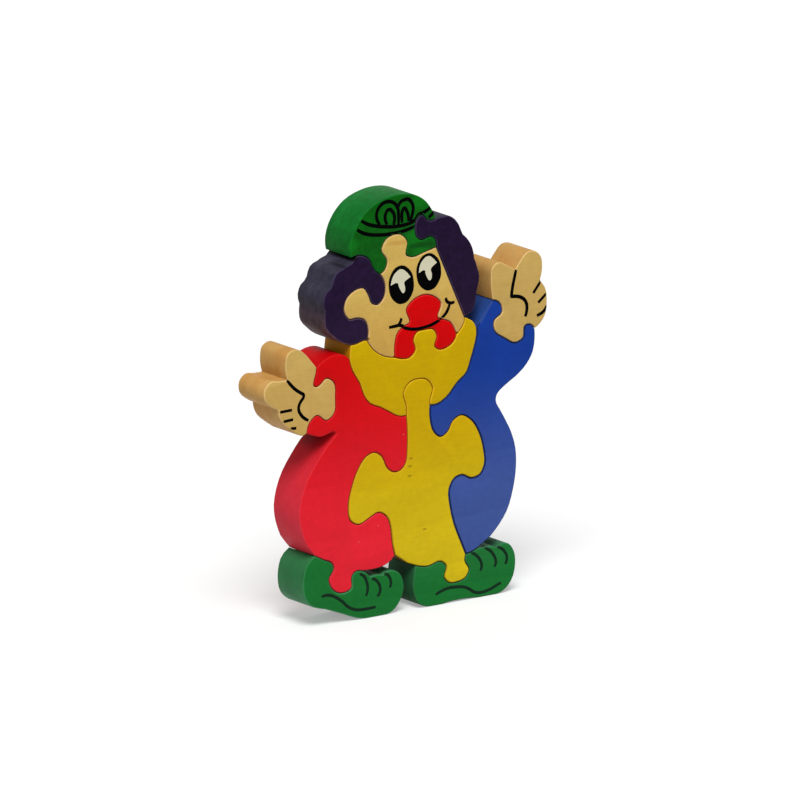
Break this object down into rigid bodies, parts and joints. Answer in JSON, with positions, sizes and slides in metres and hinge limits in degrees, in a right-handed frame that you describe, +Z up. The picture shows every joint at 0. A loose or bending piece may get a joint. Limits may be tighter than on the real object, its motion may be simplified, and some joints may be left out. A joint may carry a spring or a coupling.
{
  "type": "wooden clown puzzle",
  "caption": "Standing clown jigsaw sawn from one thick wooden board: stained interlocking pieces that slide apart through the board's thickness.",
  "frame": {"origin": "on the floor under the middle of the figure's width and of the board's thickness", "axes": "+Z up, -Y out of the painted front, +X to the right as seen from the front"},
  "size_m": [0.1546, 0.02, 0.1908],
  "materials": {
    "green_stain": "see-through stain, satin",
    "purple_stain": "see-through stain, satin",
    "bare_wood": "clear satin",
    "red_stain": "see-through stain, satin",
    "yellow_stain": "see-through stain, satin",
    "blue_stain": "see-through stain, satin"
  },
  "bodies": {
    "cap": {"cap": "green_stain"},
    "left_hair": {"left_hair": "purple_stain"},
    "right_hair": {"right_hair": "purple_stain"},
    "face": {"face": "bare_wood"},
    "nose_mouth": {"nose_mouth": "red_stain"},
    "beard": {"beard": "yellow_stain"},
    "belly": {"belly": "yellow_stain"},
    "left_body": {"left_body": "red_stain"},
    "right_body": {"right_body": "blue_stain"},
    "left_hand": {"left_hand": "bare_wood"},
    "right_hand": {"right_hand": "bare_wood"},
    "left_foot": {"left_foot": "green_stain"},
    "right_foot": {"right_foot": "green_stain"}
  },
  "joints": [
    {"name": "left_side_slide", "type": "slide", "parent": "belly", "child": "left_body", "axis": [0, -1, 0], "range_m": [-0.024, 0.024]},
    {"name": "right_side_slide", "type": "slide", "parent": "belly", "child": "right_body", "axis": [0, -1, 0], "range_m": [-0.024, 0.024]},
    {"name": "collar_slide", "type": "slide", "parent": "belly", "child": "beard", "axis": [0, -1, 0], "range_m": [-0.024, 0.024]},
    {"name": "right_ankle_slide", "type": "slide", "parent": "belly", "child": "right_foot", "axis": [0, -1, 0], "range_m": [-0.024, 0.024]},
    {"name": "left_ankle_slide", "type": "slide", "parent": "left_body", "child": "left_foot", "axis": [0, -1, 0], "range_m": [-0.024, 0.024]},
    {"name": "left_wrist_slide", "type": "slide", "parent": "left_body", "child": "left_hand", "axis": [0, -1, 0], "range_m": [-0.024, 0.024]},
    {"name": "right_wrist_slide", "type": "slide", "parent": "right_body", "child": "right_hand", "axis": [0, -1, 0], "range_m": [-0.024, 0.024]},
    {"name": "chin_slide", "type": "slide", "parent": "beard", "child": "nose_mouth", "axis": [0, -1, 0], "range_m": [-0.024, 0.024]},
    {"name": "nose_slide", "type": "slide", "parent": "nose_mouth", "child": "face", "axis": [0, -1, 0], "range_m": [-0.024, 0.024]},
    {"name": "forehead_slide", "type": "slide", "parent": "face", "child": "cap", "axis": [0, -1, 0], "range_m": [-0.024, 0.024]},
    {"name": "cheek_slide", "type": "slide", "parent": "face", "child": "left_hair", "axis": [0, -1, 0], "range_m": [-0.024, 0.024]},
    {"name": "curl_slide", "type": "slide", "parent": "cap", "child": "right_hair", "axis": [0, -1, 0], "range_m": [-0.024, 0.024]}
  ]
}
